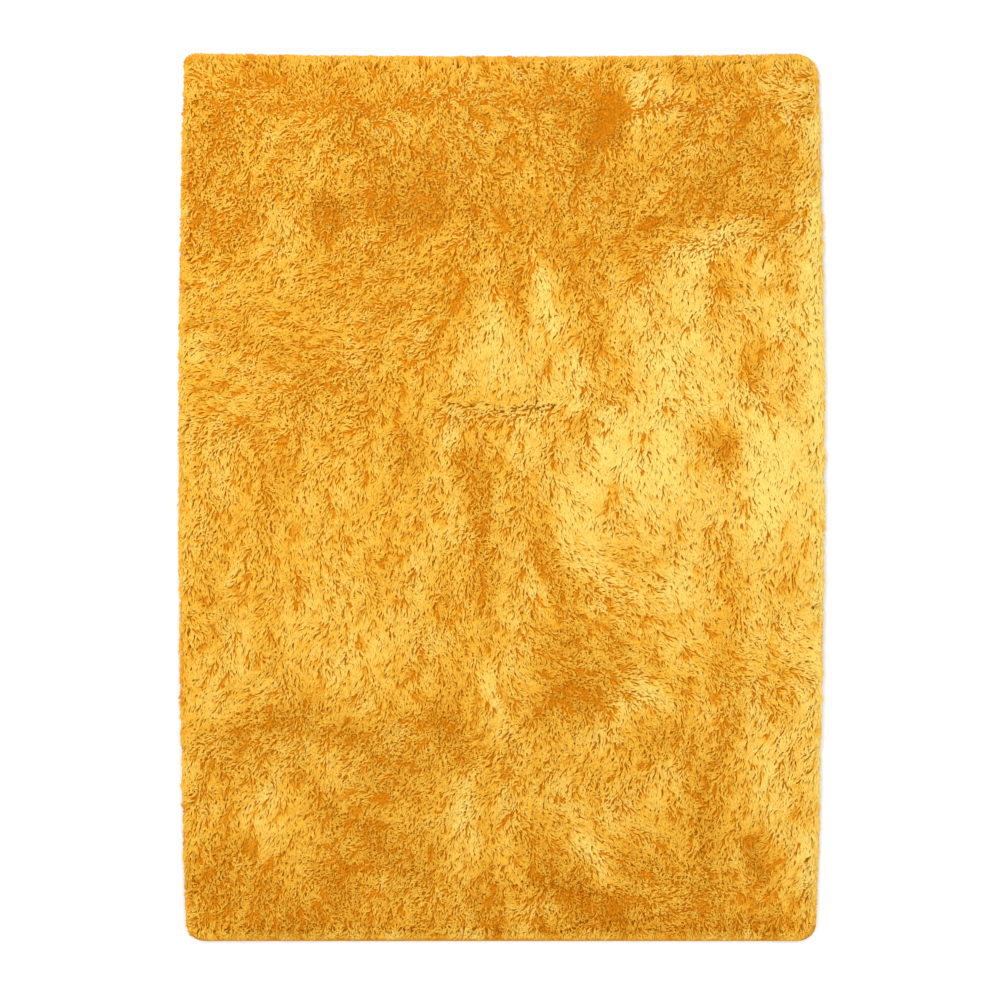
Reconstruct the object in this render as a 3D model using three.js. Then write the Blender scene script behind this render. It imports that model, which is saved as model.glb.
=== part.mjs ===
// A shag rug lying flat: a woven ground cloth, the deep cut pile worked into it, and a narrow tape
// folded over the cloth's edge all the way round.
// Millimetres. +X runs across the rug, +Y along it and +Z up. The origin is on the floor, under the
// middle of the rug.
import * as THREE from 'three';

// Driving dimensions
const RUG_WIDTH = 1600; // over the pile, at its fullest
const RUG_LENGTH = 2200;
const RUG_HEIGHT = 35; // from the floor to the tips of the pile
const CLOTH_THICKNESS = 2.4;
const MARGIN_THICKNESS = 1.3; // the cloth where the stitches press it, inside the tape
const TAPE_THICKNESS = 0.8;
const TAPE_WIDTH = 14; // each leg of the folded tape
const SIDE_LEAN = 18; // how far the pile leans out past the tape, halfway along a side
const HEAD_LEAN = 14; // the same at the +Y end
const BOUND_CORNER_RADIUS = 45;
const GAP = 0.3; // between pieces that lie against each other

// How the cloth steps down to the floor, and the pile to the cloth, inside the tape
const CLOTH_STEP = { start: 4, end: 10 };
const PILE_STEP = { start: 2, end: 6 };

const FINISHES = {
  pile: { color: '#f2aa33', roughness: 0.9 },
  ground_cloth: { color: '#d3a04a', roughness: 0.95 },
  edge_binding: { color: '#d58a1c', roughness: 0.8 },
};

// How finely outlines are divided
const CORNER_STEPS = 6;
const SIDE_STEPS = 14;

const QUARTER_TURN = Math.PI / 2;
const HALF_WIDTH = RUG_WIDTH / 2;
const HALF_LENGTH = RUG_LENGTH / 2;
const TO_CENTRE = Infinity; // an inset that draws a ring in to one point

// Heights in the stack at the edge: tape, cloth margin, tape again, with the pile above
const MARGIN_BOTTOM = TAPE_THICKNESS + GAP;
const MARGIN_TOP = MARGIN_BOTTOM + MARGIN_THICKNESS;
const TAPE_TOP = MARGIN_TOP + GAP + TAPE_THICKNESS;
const PILE_BOTTOM = CLOTH_THICKNESS + GAP;

// The outline of the cloth and its tape. A corner's x and y are where its two sides would meet.
// bow is where the side after it turns back: an x on a long side, a y on a short one.
const BOUND_RIGHT = HALF_WIDTH - SIDE_LEAN;
const BOUND_HEAD = HALF_LENGTH - HEAD_LEAN;
const BOUND_CORNERS = [
  { x: BOUND_RIGHT, y: -HALF_LENGTH, radius: BOUND_CORNER_RADIUS, bow: BOUND_RIGHT },
  { x: BOUND_RIGHT, y: BOUND_HEAD, radius: BOUND_CORNER_RADIUS, bow: BOUND_HEAD },
  { x: -BOUND_RIGHT, y: BOUND_HEAD, radius: BOUND_CORNER_RADIUS, bow: -BOUND_RIGHT },
  { x: -BOUND_RIGHT, y: -HALF_LENGTH, radius: BOUND_CORNER_RADIUS, bow: -HALF_LENGTH },
];

// The outline of the pile, which bows out along the long sides, dips at the middle of the head, and
// stops short of the tape at the foot and at the lower right corner.
const PILE_CORNERS = [
  { x: 777, y: -1096, radius: 52, bow: HALF_WIDTH },
  { x: 786, y: 1098, radius: 50, bow: 1092 },
  { x: -786, y: HALF_LENGTH, radius: 28, bow: -HALF_WIDTH },
  { x: -782, y: -1096, radius: 38, bow: -1094 },
];

// The round rim of the pile from underneath up to its shoulder: how far it is drawn in from the
// outline, and its height.
const RIM = [
  { inset: 8, z: 4.6 },
  { inset: 1.5, z: 9 },
  { inset: 0, z: 14 },
  { inset: 2.5, z: 21 },
  { inset: 8, z: 27 },
  { inset: 17, z: 31.5 },
];
const SHOULDER = { inset: 30, z: 34 };

// The insets at which the top of the pile is divided, so that it can follow the hollows
const TOP_INSETS = [55, 110, 180, 260, 350, 450, 560, 680, 770, TO_CENTRE];

// Where the pile has been pressed or brushed down. Each hollow is a soft oval dip.
const HOLLOWS = [
  { x: 262, y: 905, reachX: 75, reachY: 120, depth: 4.0 },
  { x: 640, y: 880, reachX: 90, reachY: 90, depth: 3.0 },
  { x: -690, y: 720, reachX: 110, reachY: 160, depth: 2.5 },
  { x: 580, y: 660, reachX: 90, reachY: 60, depth: 3.5 },
  { x: 30, y: 223, reachX: 150, reachY: 40, depth: 5.0 },
  { x: 545, y: 105, reachX: 75, reachY: 80, depth: 3.5 },
  { x: 165, y: -360, reachX: 110, reachY: 260, depth: 4.0 },
  { x: -430, y: -590, reachX: 150, reachY: 120, depth: 3.0 },
  { x: -100, y: -570, reachX: 100, reachY: 110, depth: 3.5 },
  { x: 110, y: -1000, reachX: 160, reachY: 70, depth: 3.0 },
];

// The control value of a parabola between two end values that turns back exactly at a third.
function controlFor(from, to, bow) {
  return bow + Math.sign(bow - from) * Math.sqrt((bow - from) * (bow - to));
}

// A closed outline with round corners and softly bowed sides, from its corners listed
// anticlockwise from the lower right.
function outline(corners) {
  const arcs = corners.map(({ x, y, radius }, k) => {
    const centreX = x - Math.sign(x) * radius;
    const centreY = y - Math.sign(y) * radius;
    const start = (k - 1) * QUARTER_TURN;
    return new THREE.EllipseCurve(centreX, centreY, radius, radius, start, start + QUARTER_TURN);
  });
  const points = arcs.flatMap((arc, k) => {
    const from = arc.getPoint(1);
    const to = arcs[(k + 1) % arcs.length].getPoint(0);
    const control = from.clone().lerp(to, 0.5);
    const across = k % 2 === 0 ? 'x' : 'y';
    control[across] = controlFor(from[across], to[across], corners[k].bow);
    const side = new THREE.QuadraticBezierCurve(from, control, to);
    return [...arc.getPoints(CORNER_STEPS), ...side.getPoints(SIDE_STEPS).slice(1, -1)];
  });
  const box = new THREE.Box2().setFromPoints(points);
  const centre = box.getCenter(new THREE.Vector2());
  const half = box.getSize(new THREE.Vector2()).multiplyScalar(0.5);
  return { points, centre, half };
}

// A point of an outline drawn in towards the middle by an inset.
function drawnIn({ points, centre, half }, index, inset) {
  const keepX = Math.max(0, 1 - inset / half.x);
  const keepY = Math.max(0, 1 - inset / half.y);
  const point = points[index];
  return new THREE.Vector2(
    centre.x + (point.x - centre.x) * keepX,
    centre.y + (point.y - centre.y) * keepY,
  );
}

// How deep the hollows are at a place on the rug.
function hollowDepth({ x, y }) {
  return HOLLOWS.reduce((depth, hollow) => {
    const offX = (x - hollow.x) / hollow.reachX;
    const offY = (y - hollow.y) / hollow.reachY;
    return depth + hollow.depth * Math.exp(-offX * offX - offY * offY);
  }, 0);
}

// A solid from the rings of its skin, listed from underneath, outwards, up and back over the top.
// It is turned once round as on a lathe, and then each ring is laid along its outline.
function laidSolid(rings) {
  const profile = rings.map((ring, j) => new THREE.Vector2(1, j));
  const steps = rings[0].line.points.length;
  const skin = new THREE.LatheGeometry(profile, steps);
  const place = skin.getAttribute('position');
  for (let i = 0; i < place.count; i += 1) {
    const { line, inset, z, uneven = false } = rings[i % rings.length];
    const at = drawnIn(line, Math.floor(i / rings.length) % steps, inset);
    place.setXYZ(i, at.x, at.y, uneven ? z - hollowDepth(at) : z);
  }
  skin.computeVertexNormals();
  return skin;
}

function piece(name, rings) {
  const material = new THREE.MeshStandardMaterial({ ...FINISHES[name], metalness: 0 });
  const mesh = new THREE.Mesh(laidSolid(rings), material);
  mesh.name = name;
  return mesh;
}

const bound = outline(BOUND_CORNERS);
const full = outline(PILE_CORNERS);

// The ground cloth lies flat on the floor. Its margin is pressed thinner from below, where the
// tape's lower leg passes under it.
function groundCloth() {
  const edge = TAPE_THICKNESS + GAP;
  const rings = [
    { line: bound, inset: TO_CENTRE, z: 0 },
    { line: bound, inset: TAPE_WIDTH + CLOTH_STEP.end, z: 0 },
    { line: bound, inset: TAPE_WIDTH + CLOTH_STEP.start, z: MARGIN_BOTTOM },
    { line: bound, inset: edge, z: MARGIN_BOTTOM },
    { line: bound, inset: edge, z: MARGIN_TOP },
    { line: bound, inset: TO_CENTRE, z: MARGIN_TOP },
  ];
  return piece('ground_cloth', rings);
}

// The tape is one ring with a U-shaped section, open towards the middle of the rug.
function edgeBinding() {
  const t = TAPE_THICKNESS;
  const rings = [
    { line: bound, inset: TAPE_WIDTH, z: 0 },
    { line: bound, inset: t, z: 0 },
    { line: bound, inset: 0, z: t },
    { line: bound, inset: 0, z: TAPE_TOP - t },
    { line: bound, inset: t, z: TAPE_TOP },
    { line: bound, inset: TAPE_WIDTH, z: TAPE_TOP },
    { line: bound, inset: TAPE_WIDTH, z: TAPE_TOP - t },
    { line: bound, inset: t, z: TAPE_TOP - t },
    { line: bound, inset: t, z: t },
    { line: bound, inset: TAPE_WIDTH, z: t },
    { line: bound, inset: TAPE_WIDTH, z: 0 },
  ];
  return piece('edge_binding', rings);
}

// The pile stands on the cloth, passes over the tape and leans out past it. Its rim is round, and
// its top dips at the hollows.
function pile() {
  const rings = [
    { line: bound, inset: TO_CENTRE, z: PILE_BOTTOM },
    { line: bound, inset: TAPE_WIDTH + PILE_STEP.end, z: PILE_BOTTOM },
    { line: bound, inset: TAPE_WIDTH + PILE_STEP.start, z: TAPE_TOP + GAP },
    ...RIM.map((ring) => ({ line: full, ...ring })),
    { line: full, ...SHOULDER, uneven: true },
    ...TOP_INSETS.map((inset) => ({ line: full, inset, z: RUG_HEIGHT, uneven: true })),
  ];
  return piece('pile', rings);
}

const rug = new THREE.Group();
rug.add(groundCloth(), edgeBinding(), pile());

export default rug;
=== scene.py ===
import math

import bpy
import numpy as np
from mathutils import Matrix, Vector


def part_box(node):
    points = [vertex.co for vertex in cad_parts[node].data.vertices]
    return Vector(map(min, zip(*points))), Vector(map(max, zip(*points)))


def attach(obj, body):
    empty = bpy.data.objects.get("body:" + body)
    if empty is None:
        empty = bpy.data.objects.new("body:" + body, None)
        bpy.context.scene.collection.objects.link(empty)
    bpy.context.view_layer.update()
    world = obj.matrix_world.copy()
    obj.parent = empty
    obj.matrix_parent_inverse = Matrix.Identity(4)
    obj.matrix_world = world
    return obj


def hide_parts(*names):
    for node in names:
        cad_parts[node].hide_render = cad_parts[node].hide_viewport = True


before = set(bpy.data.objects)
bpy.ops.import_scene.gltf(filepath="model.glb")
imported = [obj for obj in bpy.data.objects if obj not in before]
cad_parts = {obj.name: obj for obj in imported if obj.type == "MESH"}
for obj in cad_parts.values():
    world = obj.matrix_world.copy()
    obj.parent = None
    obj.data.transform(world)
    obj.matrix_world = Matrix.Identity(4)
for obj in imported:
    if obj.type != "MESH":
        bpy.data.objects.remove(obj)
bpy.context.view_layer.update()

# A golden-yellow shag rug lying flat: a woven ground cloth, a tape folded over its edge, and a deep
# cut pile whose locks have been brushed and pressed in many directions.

bl_info = {
    "name": "Shag Rug",
    "version": (1, 0, 0),
    "blender": (4, 5, 0),
    "location": "View3D > Sidebar > Rug",
    "description": "Builds a shag rug with a ground cloth, an edge tape and a deep pile of locks",
    "category": "Add Mesh",
}

MM = 0.001
BODY = "root"
PILE_BANDS = ("pile_foot", "pile_lower", "pile_middle", "pile_upper", "pile_head")


# Sizes taken from the frame, in millimetres

def size_of(node):
    """The lowest and the highest corner of a node's box."""
    low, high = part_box(node)
    return np.array(low) / MM, np.array(high) / MM


def outline_at(node, height):
    """The outline of a node at one height, anticlockwise, as an array of x and y."""
    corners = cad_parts[node].data.vertices
    spots = np.array([v.co for v in corners]) / MM
    spots = np.unique(spots[np.abs(spots[:, 2] - height) < 0.05, :2].round(2), axis=0)
    return spots[np.argsort(np.arctan2(spots[:, 1], spots[:, 0]))]


CLOTH_LOW, CLOTH_HIGH = size_of("ground_cloth")
PILE_LOW, PILE_HIGH = size_of("pile")
RIM_HEIGHT = 14.0  # where the pile reaches out furthest
PILE_OUTLINE = outline_at("pile", RIM_HEIGHT)

# Sizes of the cloth and its tape, in millimetres
TAPE_WIDTH = 14.0
CORNER_RADIUS = 45.0
CORNER_STEPS = 8
MARGIN_THICKNESS = 1.3  # of the cloth's margin, which the stitches press from below
MARGIN_PAST_TAPE = 4.0  # how far the margin goes on past the tape
MARGIN_SLOPE = 6.0  # over which the cloth then comes to its full thickness
CLOTH_THREAD = 12.57  # from one thread to the next, drawn far coarser than real so that it shows
TAPE_THREAD = 7.54

# The edge of the pile, in millimetres inwards from its outline
RIM_RISE = 55.0  # where the pile comes to its full height
RIM_GAP = 3.0  # where the outermost free locks start
EDGE_REACH = 26.0  # where the free locks begin to lean outwards
EDGE_SOFTNESS = 20.0
FRINGE_REACH = 36.0  # where the fringe starts that leans out over the tape
FRINGE_GAP = 9.0  # and where it ends
FRINGE_OVER_TAPE = 4.0  # how far its roots go on over the tape
FRINGE_SPACING = 0.6  # from root to root in the fringe, as a share of the others
BLEND_REACH = 12.0  # how softly the way out turns round a corner
CORNER_START = (730, 1040)  # where the corners begin, in x and in y
CORNER_SOFTNESS = 30.0

# The locks, with lengths in millimetres and turns in degrees. TURN_SCATTER and CURL have the value
# of a lock that lies flat, then what a standing one has on top.
LOCK_ROUNDNESS = 0.36  # how far the light turns over its sides
LOCK_THICKNESS = 0.34  # of its width
LOCK_BELLY = 0.66  # how far along it is fullest
BELLY_SCATTER = 0.06
REACH_RANGE = (0.75, 1.2)  # of the full reach
WIDTH_RANGE = (0.75, 1.25)  # of the full width
SHORTEST_LOCK = 7.0
SHORTEST_AT_CREASE = 6.0
MOST_UPRIGHT = 0.15
FLATNESS_SCATTER = 0.08
TURN_SCATTER = (8, 30)
FAN_SCATTER = 13
HEIGHT_SCATTER = 1.1
CURL = (1.2, 2.6)
TIP_FLOOR = 2.0  # how near a drooping tip comes to the floor
DROOP = 9.0  # how far it sags at most
FLAT_REACH = (0.14, 0.86)  # the part of the reach that any lock has, and what lying flat adds
FIBRE_SCALE = 90.0  # of the fine lines along a lock, about three to its width
ROOT_TUFT = 18.0  # width of the matted tufts that show between the locks

# The tone of a lock, from 0, deep, to 1, pale, much of it painted shade and painted sheen: its middle,
# and what each thing adds or takes
TONE_MIDDLE = 0.53
TONE_OF_PAINTED_SHEEN = 0.54
TONE_OF_PAINTED_SHADE = 0.46
TONE_OF_SLIT_SHADE = 0.24
TONE_OF_MOTTLE = 0.06
TONE_OF_CLUMP_SHADE = 0.055
TONE_OF_FRINGE_SHADE = 0.3
TONE_SCATTER = (0.045, 0.08)  # anywhere, and what a dark place adds

# The dense lower part of the pile, in millimetres
BASE_HEIGHT = 23.0
BASE_EDGE_HEIGHT = 6.0
BASE_EDGE_THICKNESS = 1.5
BASE_INSET = (27, 28)  # from the pile's sides and from its ends
BASE_CELLS = (120, 165)
BASE_RISE = (20, 30)  # how far inside the outline it starts to rise, and over what length
BASE_SCATTER = 3.0  # of its corners, so that they stand in no rows
BASE_SEED = 21
CREASE_DEPTH = 9.0
CREASE_HALF_WIDTH = 12.0

# The studio. A softbox has its name, its power in watts and its place in metres.
FLOOR_SIZE = 14.0
SOFTBOX_SIZE = 2.4
SOFTBOXES = (("key_softbox", 115, (-2.6, 2.2, 4.0)), ("fill_softbox", 39, (2.8, -0.8, 4.0)))
WORLD_STRENGTH = 0.925
CAMERA_PLACE = (-3.4 * MM, -4.8 * MM, 5.866)  # straight above, a little off the middle as in the photo
CAMERA_LENS = 85
CAMERA_SENSOR = 36


# How the pile has been brushed. Each row is a soft oval patch: its middle and its half lengths in
# millimetres, then the way that the tips point there, in degrees anticlockwise from +X, and how flat
# the locks lie, from 0, upright, to 1. Places between patches follow the general brushing.
GENERAL_LAY = 262
GENERAL_FLATNESS = 0.72
GENERAL_PULL = 0.6  # how strongly the general brushing turns the locks
PATCH_PULL = 1.6  # and how strongly the middle of a patch does
PATCH_WAVER = 7  # how far the edges of patches wander, in millimetres
PALE_STREAK = 24  # how far pale and dark places are drawn out along the lay, in millimetres
BRUSHED = [
    # x, y, half_x, half_y, lay, flatness
    (-560, 1075, 200, 45, 98, 0.7),
    (-150, 1075, 240, 45, 88, 0.75),
    (250, 1075, 220, 45, 84, 0.7),
    (620, 1075, 180, 45, 80, 0.7),
    (-600, 1000, 150, 45, 125, 0.6),
    (-300, 1000, 150, 45, 70, 0.6),
    (40, 1005, 150, 45, 125, 0.6),
    (340, 1000, 130, 45, 60, 0.6),
    (630, 1000, 150, 45, 115, 0.6),
    (-640, 900, 160, 80, 285, 0.5),
    (-700, 700, 110, 140, 250, 0.6),
    (-440, 740, 160, 100, 232, 0.6),
    (-250, 660, 120, 80, 222, 0.6),
    (-420, 480, 260, 110, 186, 0.7),
    (-650, 260, 140, 90, 175, 0.7),
    (-440, 230, 120, 90, 236, 0.5),
    (-60, 880, 260, 90, 268, 0.55),
    (190, 860, 90, 120, 250, 0.5),
    (330, 700, 140, 60, 200, 0.5),
    (560, 870, 160, 100, 240, 0.6),
    (580, 700, 120, 60, 160, 0.6),
    (100, 470, 180, 170, 272, 0.85),
    (30, 224, 170, 18, 184, 0.5),
    (350, 330, 110, 90, 325, 0.7),
    (600, 430, 160, 150, 286, 0.8),
    (620, 250, 110, 70, 310, 0.7),
    (350, 80, 130, 130, 268, 0.9),
    (690, 40, 100, 180, 270, 0.95),
    (180, -40, 60, 110, 292, 0.9),
    (320, -170, 130, 70, 328, 0.75),
    (260, -400, 200, 130, 352, 0.7),
    (450, -330, 90, 90, 312, 0.75),
    (620, -400, 130, 60, 350, 0.7),
    (-480, -180, 300, 260, 262, 0.85),
    (-60, -300, 130, 220, 266, 0.8),
    (-520, -590, 160, 60, 200, 0.45),
    (-180, -600, 160, 90, 190, 0.5),
    (-560, -780, 130, 130, 264, 0.8),
    (-360, -780, 90, 130, 240, 0.5),
    (-440, -660, 60, 60, 300, 0.8),
    (-150, -760, 120, 120, 250, 0.7),
    (140, -690, 120, 60, 215, 0.7),
    (260, -860, 130, 90, 325, 0.7),
    (380, -960, 150, 60, 345, 0.5),
    (520, -700, 70, 160, 262, 0.6),
    (660, -700, 80, 170, 272, 0.8),
    (-300, -1010, 250, 60, 262, 0.6),
]

# Where the one dye is painted paler or darker: painted sheen where a pressed lock turns its bright
# side up, and painted shade where a standing one shows its dark depth. Each row is a soft oval patch,
# turned by an angle in degrees, with how pale it is, from -1 to 1. The first rows are broad and shift
# whole quarters of the rug.
SHADED = [
    # x, y, half_x, half_y, turn, pale
    (500, 250, 280, 420, 0, 0.25),
    (660, -450, 150, 420, 0, 0.12),
    (-420, 880, 420, 260, 0, -0.1),
    (-765, 200, 45, 700, 0, 0.05),
    (794, 0, 12, 1050, 0, 0.4),
    (775, 700, 45, 400, 0, 0.45),
    (780, -150, 35, 850, 0, 0.45),
    (-100, -980, 700, 130, 0, -0.15),
    # the head
    (-600, 1060, 150, 40, 0, -0.15),
    (490, 1045, 60, 35, 0, -0.4),
    (120, 1000, 50, 60, 0, -0.25),
    (130, 880, 35, 45, 0, -0.2),
    (-710, 920, 50, 80, 0, -0.25),
    (-410, 940, 35, 80, 20, -0.1),
    (270, 945, 50, 62, 0, -1.0),
    (285, 930, 35, 40, 0, -0.4),
    (420, 920, 30, 40, 0, -0.25),
    (-60, 950, 70, 30, 0, -0.2),
    (-50, 1005, 50, 40, 0, 0.2),
    (100, 1060, 130, 22, 0, 0.15),
    (375, 965, 60, 75, 0, 0.85),
    (690, 1020, 60, 40, 0, 0.3),
    (590, 1000, 70, 40, 0, 0.35),
    (-340, 890, 45, 45, 0, -0.3),
    (-420, 850, 70, 50, 0, 0.3),
    (-450, 970, 130, 40, 0, 0.1),
    (-340, 1015, 60, 30, 0, -0.2),
    (-610, 880, 45, 80, 0, 0.15),
    (205, 835, 25, 85, -18, -0.5),
    (285, 835, 30, 45, 0, 0.2),
    (350, 800, 90, 50, 0, -0.3),
    (440, 950, 50, 50, -25, -0.25),
    (605, 930, 40, 50, 0, -0.45),
    (735, 820, 75, 65, 0, -0.55),
    (690, 930, 50, 50, 0, 0.25),
    (580, 850, 60, 40, 0, -0.3),
    (-200, 825, 120, 30, 0, -0.3),
    (-415, 700, 40, 40, -20, -0.45),
    (-220, 725, 170, 60, 0, -0.45),
    (60, 670, 90, 60, 0, -0.35),
    (250, 730, 45, 45, 0, -0.25),
    (-680, 710, 80, 120, 0, -0.3),
    (-545, 640, 45, 80, -30, 0.4),
    (-605, 670, 30, 40, 0, -0.3),
    (-745, 620, 35, 60, 0, -0.2),
    (510, 755, 50, 50, 0, -0.6),
    (400, 675, 90, 32, 10, -0.65),
    (620, 695, 70, 60, 0, -0.45),
    # from the head to the crease
    (520, 625, 110, 45, 15, 0.85),
    (700, 590, 50, 70, 0, 0.1),
    (600, 390, 60, 50, 0, -0.2),
    (465, 500, 50, 70, 0, 0.5),
    (380, 545, 40, 50, 0, -0.15),
    (545, 530, 25, 90, 12, -0.5),
    (650, 470, 45, 100, 22, 0.3),
    (106, 505, 28, 100, 0, 0.8),
    (125, 585, 30, 35, 0, -0.3),
    (42, 500, 30, 90, 5, -0.75),
    (-90, 550, 30, 80, -15, -0.15),
    (225, 560, 75, 80, 0, -0.45),
    (325, 450, 45, 60, 20, 0.35),
    (-20, 425, 65, 65, -10, 0.65),
    (105, 425, 32, 38, 0, 0.5),
    (-150, 380, 30, 70, -10, -0.25),
    (-75, 485, 30, 35, 0, -0.35),
    (140, 375, 25, 30, 0, -0.3),
    (-75, 325, 60, 60, 0, 0.5),
    (35, 310, 45, 60, 0, 0.35),
    (165, 300, 55, 65, -20, 0.45),
    (255, 270, 35, 40, 0, -0.4),
    (232, 420, 32, 70, 0, -0.5),
    (430, 340, 70, 65, 0, 0.45),
    (570, 370, 50, 50, 0, 0.4),
    (620, 318, 40, 40, 0, -0.7),
    (620, 225, 45, 30, 0, 0.3),
    (710, 380, 50, 80, 0, 0.15),
    (715, 240, 35, 45, 0, -0.35),
    (-440, 280, 110, 40, 20, -0.2),
    (-480, 420, 200, 70, 0, -0.1),
    (-600, 350, 90, 40, 0, -0.25),
    (-730, 530, 50, 60, 0, 0.15),
    (-690, 350, 50, 50, 0, 0.15),
    (-725, 265, 45, 40, 0, -0.3),
    (-715, 440, 55, 60, 30, -0.25),
    (-300, 590, 35, 100, -15, -0.2),
    (160, 235, 60, 25, 0, 0.4),
    (-330, 540, 190, 80, -15, -0.25),
    # the middle
    (-620, 145, 45, 45, 0, -0.35),
    (-690, 110, 40, 60, 0, 0.2),
    (-240, 110, 35, 80, 0, -0.4),
    (-230, -20, 50, 60, 0, 0.15),
    (-70, 60, 38, 120, 8, -0.6),
    (-115, 145, 40, 60, 0, 0.55),
    (40, 203, 400, 15, 0, 0.35),
    (-350, 50, 60, 60, 0, 0.2),
    (-550, 50, 60, 60, 0, -0.2),
    (52, 145, 50, 60, 0, 0.65),
    (208, 155, 35, 35, 0, -0.45),
    (320, 90, 110, 100, 0, 0.75),
    (470, 230, 100, 50, 0, 0.4),
    (545, 130, 48, 48, 0, -0.9),
    (690, 80, 70, 130, 0, 0.7),
    (635, -40, 60, 110, 0, 0.55),
    (190, -60, 42, 120, 28, 0.55),
    (110, -85, 25, 50, 20, -0.25),
    (340, -160, 60, 50, 0, -0.25),
    (450, 30, 80, 50, 0, 0.2),
    (330, -90, 90, 60, 0, 0.12),
    (545, -140, 60, 45, 0, -0.25),
    (-45, -140, 26, 100, 0, -0.35),
    (-130, -50, 35, 90, 0, 0.35),
    (-130, -230, 25, 110, 0, -0.3),
    (135, -220, 24, 90, 25, -0.45),
    (260, -200, 70, 35, -30, 0.35),
    (445, -230, 90, 70, 0, 0.38),
    (-715, -270, 45, 90, 0, -0.4),
    (-720, -60, 45, 90, 0, -0.15),
    (55, -240, 38, 115, 0, 0.4),
    (0, -130, 40, 40, 0, -0.2),
    (-300, -195, 60, 70, 0, -0.35),
    (-520, -240, 60, 70, 0, -0.3),
    (-440, -75, 35, 40, 0, -0.25),
    (-80, -385, 45, 40, 0, -0.3),
    (-400, -330, 170, 130, 0, 0.3),
    (-45, -240, 28, 110, 0, -0.3),
    (535, -265, 38, 40, 0, -0.3),
    (265, -340, 28, 28, 0, -0.6),
    (165, -365, 50, 70, 0, -0.4),
    # from the middle to the foot
    (-25, -465, 40, 110, 8, 0.55),
    (120, -500, 35, 60, 0, -0.4),
    (215, -480, 60, 50, 0, -0.65),
    (325, -390, 70, 40, 10, -0.3),
    (345, -495, 70, 30, 20, 0.8),
    (430, -360, 60, 40, 0, 0.3),
    (575, -490, 35, 45, 0, -0.15),
    (560, -370, 30, 70, 0, -0.4),
    (650, -320, 60, 80, 0, 0.2),
    (-740, -450, 45, 110, 0, 0.2),
    (-540, -545, 140, 32, 20, -0.55),
    (-550, -400, 60, 60, 0, -0.3),
    (-650, -480, 50, 40, 0, -0.2),
    (-610, -660, 60, 45, 0, -0.3),
    (-325, -510, 45, 35, 0, 0.35),
    (-270, -550, 50, 45, 0, -0.3),
    (-690, -660, 35, 50, 0, -0.25),
    (-660, -720, 50, 50, 0, -0.2),
    (-390, -590, 90, 28, -10, -0.5),
    (-130, -565, 55, 42, -30, -0.5),
    (-180, -625, 100, 32, 0, -0.2),
    (-80, -640, 35, 30, 0, -0.25),
    (255, -600, 50, 30, 0, 0.4),
    (-465, -715, 35, 50, 20, -0.3),
    (-570, -780, 65, 75, 0, 0.35),
    (-280, -680, 90, 45, 0, -0.35),
    (-415, -800, 28, 60, 15, -0.4),
    (-300, -850, 50, 50, 0, -0.45),
    (-100, -850, 60, 70, 0, 0.25),
    (-190, -760, 40, 60, 0, -0.2),
    (-75, -770, 22, 100, 0, 0.6),
    (15, -775, 35, 60, 0, 0.35),
    (75, -720, 20, 40, 0, -0.2),
    (150, -725, 40, 30, 0, 0.4),
    (235, -690, 28, 80, 0, -0.25),
    (400, -710, 70, 45, 0, 0.3),
    (400, -585, 55, 40, 0, -0.45),
    (350, -870, 70, 45, 0, -0.15),
    (560, -590, 32, 75, -25, -0.4),
    (500, -750, 30, 110, 8, -0.4),
    (640, -640, 60, 90, 0, 0.3),
    (205, -850, 36, 65, 35, 0.55),
    (250, -910, 38, 70, 30, 0.5),
    (75, -1035, 45, 22, 0, 0.45),
    (25, -900, 50, 35, 0, 0.3),
    (700, -800, 50, 80, 0, 0.15),
    (755, -940, 30, 90, 0, 0.6),
    (638, -885, 38, 75, 0, -1.0),
    (705, -870, 32, 60, 0, 0.35),
    (615, -1000, 40, 30, 0, 0.35),
    # the foot
    (-675, -875, 65, 55, 0, -0.45),
    (-610, -970, 70, 50, 0, -0.4),
    (-730, -955, 45, 70, 0, -0.4),
    (-500, -880, 40, 40, 0, -0.1),
    (-420, -930, 50, 50, 0, -0.4),
    (-500, -1030, 120, 28, 12, -0.35),
    (-350, -1005, 40, 45, 0, 0.15),
    (-215, -905, 60, 65, 0, -0.45),
    (-200, -1000, 50, 40, 0, 0.1),
    (-40, -1040, 240, 30, 0, -0.12),
    (-30, -985, 60, 45, 0, -0.4),
    (175, -1010, 50, 40, 0, -0.3),
    (140, -940, 45, 60, 15, -0.5),
    (270, -1010, 60, 35, 0, -0.5),
    (410, -1035, 90, 35, 0, -0.1),
    (380, -930, 90, 35, 0, -0.4),
    (400, -985, 55, 40, 0, 0.4),
    (500, -900, 50, 40, 0, -0.2),
    (500, -985, 80, 35, 0, -0.45),
    (620, -1045, 110, 32, 0, -0.5),
    (0, -1090, 740, 6, 0, 0.5),
    (180, -1066, 560, 13, 0, -0.5),
    (-520, -1060, 160, 18, 0, -0.3),
]

# The main creases, where the pile parts. The locks that lie across one stop there. Each row is its
# middle, its half length, its turn in degrees, and the share of the locks that stop.
CREASES = [
    # x, y, half, turn, share
    (60, 228, 80, 3, 1.0),
    (-75, 232, 65, -5, 0.8),
    (135, -962, 115, -7, 0.9),
    (-60, 655, 70, 100, 0.6),
    (300, -1040, 120, 4, 0.7),
    (500, -880, 90, 100, 0.6),
]


def length_property(name, description, millimetres):
    return bpy.props.FloatProperty(
        name=name, description=description, default=millimetres * MM, unit="LENGTH",
    )


class RugSizes(bpy.types.PropertyGroup):
    lock_spacing: length_property("Lock spacing", "From one lock's root to the next", 5.5)
    lock_reach: length_property("Lock reach", "How far a flat lock reaches from its root", 37)
    lock_width: length_property("Lock width", "Width of a lock at its fullest", 4.8)
    gathering: length_property("Gathering", "How far the tips draw together into clumps", 3.7)
    seed: bpy.props.IntProperty(
        name="Seed", description="Start of the random numbers that place the locks", default=7,
    )


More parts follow.
